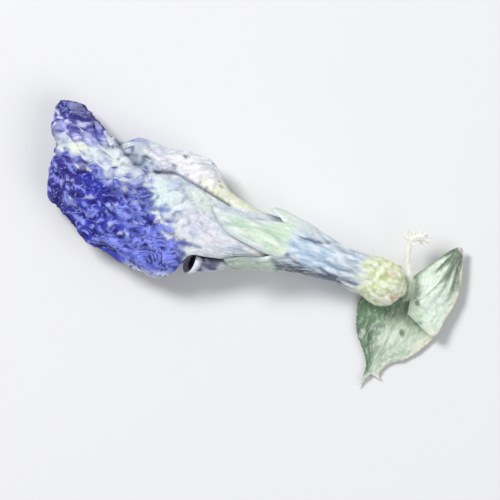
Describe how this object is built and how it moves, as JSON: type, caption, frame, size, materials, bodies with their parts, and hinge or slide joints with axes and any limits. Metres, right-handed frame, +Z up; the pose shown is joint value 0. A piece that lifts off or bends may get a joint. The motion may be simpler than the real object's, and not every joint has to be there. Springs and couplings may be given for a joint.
{
  "type": "butterfly pea flower",
  "caption": "Dried butterfly pea flower lying on its side, with a folded shrivelled blue petal in a lobed calyx tube, toothed bracteoles and a thin hooked stalk.",
  "frame": {"origin": "on the surface that the flower rests on, under the middle of its box", "axes": "+X along the flower from the petal tip toward the stalk, +Y toward the petal's folded midrib, +Z up"},
  "size_m": [0.0482, 0.0182, 0.0078],
  "materials": {
    "banner_blue": "dry matt petal, indigo to icy white",
    "wing_lilac": "dry matt petal",
    "wing_grey": "dry matt petal",
    "keel_cream": "dry matt petal",
    "calyx_mint": "dry papery leaf",
    "bracteole_mint": "dry papery leaf",
    "bracteole_green": "dry papery leaf",
    "column_straw": "dry and matt",
    "stamen_straw": "dry and matt",
    "style_green": "dry and matt",
    "pedicel_cream": "dry and matt"
  },
  "bodies": {
    "root": {"banner_petal": "banner_blue", "wing_petal_upper": "wing_lilac", "wing_petal_lower": "wing_grey", "keel_petals": "keel_cream", "calyx": "calyx_mint", "bracteole_upper": "bracteole_mint", "bracteole_lower": "bracteole_green", "staminal_column": "column_straw", "free_stamen": "stamen_straw", "pistil": "style_green", "pedicel": "pedicel_cream"}
  },
  "joints": []
}
